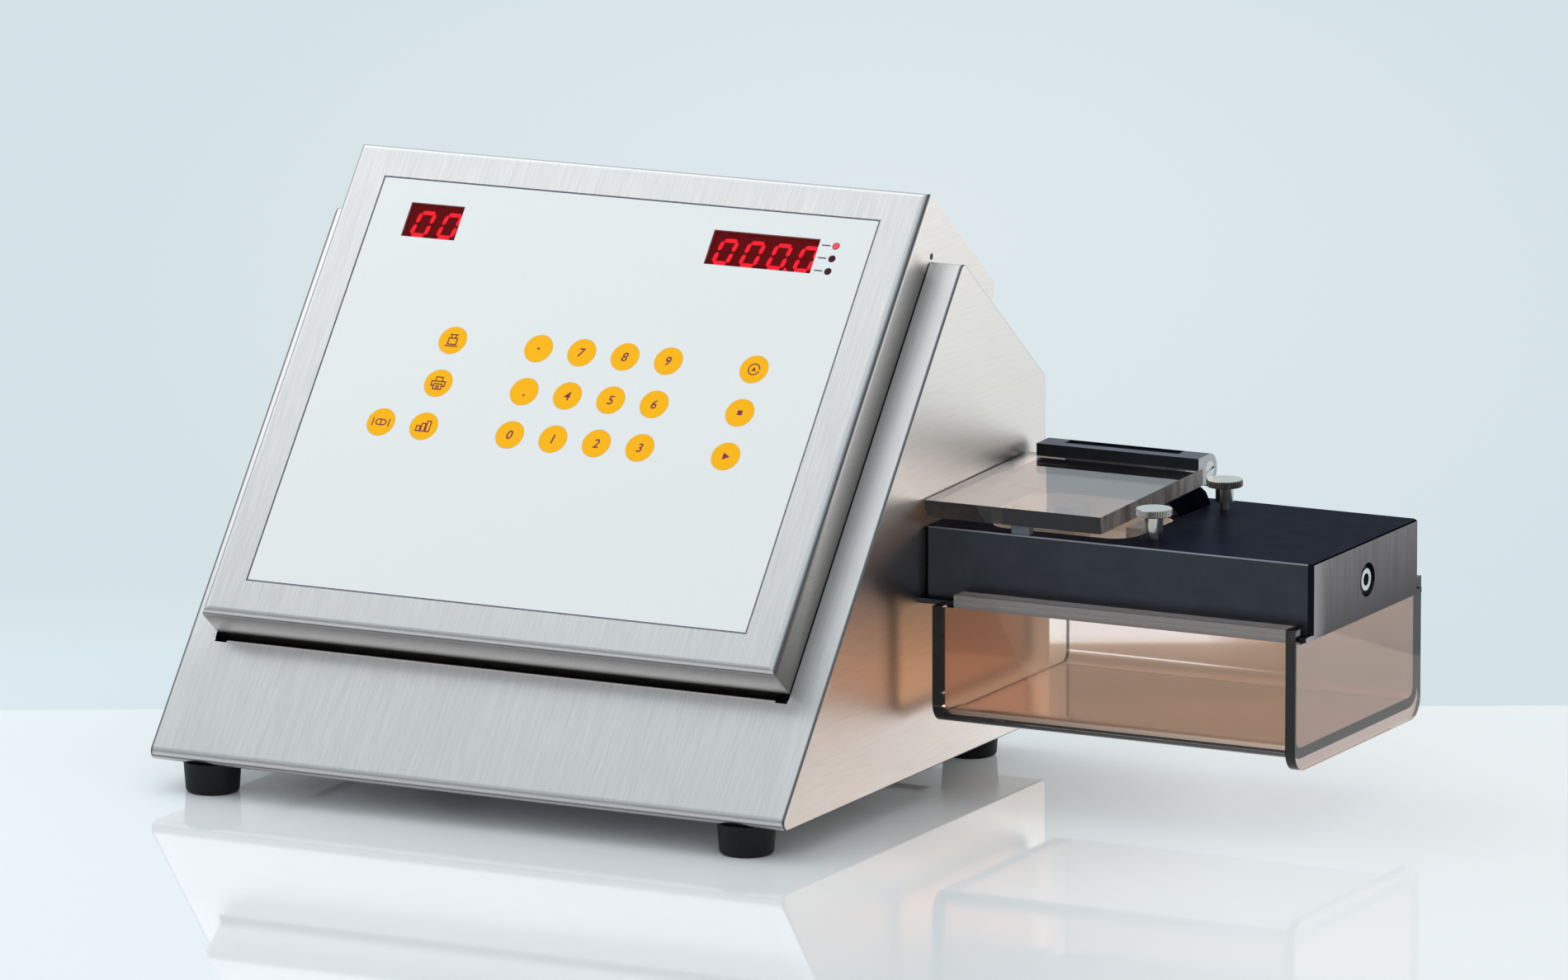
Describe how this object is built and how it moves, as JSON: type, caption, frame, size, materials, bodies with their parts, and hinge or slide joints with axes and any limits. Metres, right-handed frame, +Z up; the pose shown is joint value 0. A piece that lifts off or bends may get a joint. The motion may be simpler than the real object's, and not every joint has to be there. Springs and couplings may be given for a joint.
{
  "type": "tablet hardness tester",
  "caption": "Wedge-shaped bench tester with a sloping keypad and displays, a side test station with hinged flap, a motor-driven jaw in its chamber, and a sliding crumb drawer below.",
  "frame": {"origin": "middle of the bounding box at floor level, under the feet", "axes": "+X to the operator's right, towards the test station; +Y to the back; +Z up"},
  "size_m": [0.5262, 0.2692, 0.2763],
  "materials": {
    "brushed_housing": "brushed stainless sheet, grain up the slope",
    "foot_rubber": "matt black rubber",
    "screw_steel": "bright machined steel",
    "panel_film": "pale grey-blue fine-grained film",
    "dark_plastic": "black moulded plastic",
    "red_window": "dark red see-through window",
    "red_light": "red indicator lens",
    "circuit_board": "green circuit board",
    "supply_case": "folded metal case",
    "black_anodised": "satin black anodised",
    "pale_steel": "light polished metal",
    "jaw_steel": "ground steel",
    "cell_aluminium": "milled aluminium",
    "bush_brass": "turned brass",
    "smoked_acrylic": "smoky brown see-through acrylic",
    "grey_rest": "grey moulded pad",
    "knob_nickel": "nickel plated, knurled",
    "motor_case": "dark painted case",
    "orange_key": "orange key cap with dark marks"
  },
  "bodies": {
    "root": {"housing_shell": "brushed_housing", "base_plate": "brushed_housing", "rear_panel": "brushed_housing", "control_box_shell": "brushed_housing", "control_box_cover": "brushed_housing", "feet": "foot_rubber", "case_screws": "screw_steel", "keypad_overlay": "panel_film", "keypad_membrane": "dark_plastic", "display_windows": "red_window", "unit_lights": "red_light", "display_board": "circuit_board", "main_board": "circuit_board", "power_supply": "supply_case", "mains_inlet": "dark_plastic", "station_block": "black_anodised", "drawer_ledge": "black_anodised", "chamber_tray": "pale_steel", "fixed_jaw": "jaw_steel", "load_cell": "cell_aluminium", "end_bush": "bush_brass", "station_bolts": "screw_steel", "hinge_base": "black_anodised", "flap_rest": "grey_rest", "drive_motor": "motor_case", "motor_plate": "cell_aluminium", "wall_plate": "cell_aluminium", "guide_rods": "jaw_steel"},
    "flap": {"flap_plate": "smoked_acrylic", "hinge_bar": "black_anodised", "hinge_pin": "screw_steel"},
    "drawer": {"drawer_tray": "smoked_acrylic", "drawer_front_panel": "smoked_acrylic", "drawer_rails": "smoked_acrylic"},
    "near_thumbscrew": {"near_thumbscrew": "knob_nickel"},
    "far_thumbscrew": {"far_thumbscrew": "knob_nickel"},
    "screw": {"lead_screw": "jaw_steel", "shaft_coupling": "cell_aluminium"},
    "carriage": {"jaw_carriage": "cell_aluminium", "moving_jaw": "jaw_steel"},
    "rocker": {"power_rocker": "dark_plastic"},
    "key_0": {"key_0": "orange_key"},
    "key_1": {"key_1": "orange_key"},
    "key_2": {"key_2": "orange_key"},
    "key_3": {"key_3": "orange_key"},
    "key_4": {"key_4": "orange_key"},
    "key_5": {"key_5": "orange_key"},
    "key_6": {"key_6": "orange_key"},
    "key_7": {"key_7": "orange_key"},
    "key_8": {"key_8": "orange_key"},
    "key_9": {"key_9": "orange_key"},
    "key_dot": {"key_dot": "orange_key"},
    "key_point": {"key_point": "orange_key"},
    "key_tablet": {"key_tablet": "orange_key"},
    "key_weight": {"key_weight": "orange_key"},
    "key_printer": {"key_printer": "orange_key"},
    "key_chart": {"key_chart": "orange_key"},
    "key_reset": {"key_reset": "orange_key"},
    "key_stop": {"key_stop": "orange_key"},
    "key_start": {"key_start": "orange_key"}
  },
  "joints": [
    {"name": "flap_hinge", "type": "hinge", "parent": "root", "child": "flap", "pos_m": [0.11265, 0.11977, 0.1436], "axis": [-1, 0, 0], "range_deg": [0, 100]},
    {"name": "drawer_slide", "type": "slide", "parent": "root", "child": "drawer", "axis": [1, 0, 0], "range_m": [0, 0.15]},
    {"name": "near_thumbscrew_turn", "type": "hinge", "parent": "root", "child": "near_thumbscrew", "pos_m": [0.1739, 0.02622, 0.13], "axis": [0, 0, 1], "range_deg": [0, 720]},
    {"name": "far_thumbscrew_turn", "type": "hinge", "parent": "root", "child": "far_thumbscrew", "pos_m": [0.1739, 0.10102, 0.13], "axis": [0, 0, 1], "range_deg": [0, 720]},
    {"name": "screw_spin", "type": "hinge", "parent": "root", "child": "screw", "pos_m": [0.0019, 0.07357, 0.092], "axis": [-1, 0, 0], "range_deg": [0, 6121]},
    {"name": "carriage_slide", "type": "slide", "parent": "root", "child": "carriage", "axis": [1, 0, 0], "range_m": [0, 0.0255]},
    {"name": "rocker_tilt", "type": "hinge", "parent": "root", "child": "rocker", "pos_m": [-0.2181, 0.13037, 0.07], "axis": [-1, 0, 0], "range_deg": [0, 16]},
    {"name": "key_0_press", "type": "slide", "parent": "root", "child": "key_0", "axis": [0, 0.782, -0.6233], "range_m": [0, 0.0004], "stiffness_N_per_m": 500},
    {"name": "key_1_press", "type": "slide", "parent": "root", "child": "key_1", "axis": [0, 0.782, -0.6233], "range_m": [0, 0.0004], "stiffness_N_per_m": 500},
    {"name": "key_2_press", "type": "slide", "parent": "root", "child": "key_2", "axis": [0, 0.782, -0.6233], "range_m": [0, 0.0004], "stiffness_N_per_m": 500},
    {"name": "key_3_press", "type": "slide", "parent": "root", "child": "key_3", "axis": [0, 0.782, -0.6233], "range_m": [0, 0.0004], "stiffness_N_per_m": 500},
    {"name": "key_4_press", "type": "slide", "parent": "root", "child": "key_4", "axis": [0, 0.782, -0.6233], "range_m": [0, 0.0004], "stiffness_N_per_m": 500},
    {"name": "key_5_press", "type": "slide", "parent": "root", "child": "key_5", "axis": [0, 0.782, -0.6233], "range_m": [0, 0.0004], "stiffness_N_per_m": 500},
    {"name": "key_6_press", "type": "slide", "parent": "root", "child": "key_6", "axis": [0, 0.782, -0.6233], "range_m": [0, 0.0004], "stiffness_N_per_m": 500},
    {"name": "key_7_press", "type": "slide", "parent": "root", "child": "key_7", "axis": [0, 0.782, -0.6233], "range_m": [0, 0.0004], "stiffness_N_per_m": 500},
    {"name": "key_8_press", "type": "slide", "parent": "root", "child": "key_8", "axis": [0, 0.782, -0.6233], "range_m": [0, 0.0004], "stiffness_N_per_m": 500},
    {"name": "key_9_press", "type": "slide", "parent": "root", "child": "key_9", "axis": [0, 0.782, -0.6233], "range_m": [0, 0.0004], "stiffness_N_per_m": 500},
    {"name": "key_dot_press", "type": "slide", "parent": "root", "child": "key_dot", "axis": [0, 0.782, -0.6233], "range_m": [0, 0.0004], "stiffness_N_per_m": 500},
    {"name": "key_point_press", "type": "slide", "parent": "root", "child": "key_point", "axis": [0, 0.782, -0.6233], "range_m": [0, 0.0004], "stiffness_N_per_m": 500},
    {"name": "key_tablet_press", "type": "slide", "parent": "root", "child": "key_tablet", "axis": [0, 0.782, -0.6233], "range_m": [0, 0.0004], "stiffness_N_per_m": 500},
    {"name": "key_weight_press", "type": "slide", "parent": "root", "child": "key_weight", "axis": [0, 0.782, -0.6233], "range_m": [0, 0.0004], "stiffness_N_per_m": 500},
    {"name": "key_printer_press", "type": "slide", "parent": "root", "child": "key_printer", "axis": [0, 0.782, -0.6233], "range_m": [0, 0.0004], "stiffness_N_per_m": 500},
    {"name": "key_chart_press", "type": "slide", "parent": "root", "child": "key_chart", "axis": [0, 0.782, -0.6233], "range_m": [0, 0.0004], "stiffness_N_per_m": 500},
    {"name": "key_reset_press", "type": "slide", "parent": "root", "child": "key_reset", "axis": [0, 0.782, -0.6233], "range_m": [0, 0.0004], "stiffness_N_per_m": 500},
    {"name": "key_stop_press", "type": "slide", "parent": "root", "child": "key_stop", "axis": [0, 0.782, -0.6233], "range_m": [0, 0.0004], "stiffness_N_per_m": 500},
    {"name": "key_start_press", "type": "slide", "parent": "root", "child": "key_start", "axis": [0, 0.782, -0.6233], "range_m": [0, 0.0004], "stiffness_N_per_m": 500}
  ],
  "couplings": [
    {"joint": "screw_spin", "follows": "carriage_slide", "rad_per_m": 4188.8}
  ]
}
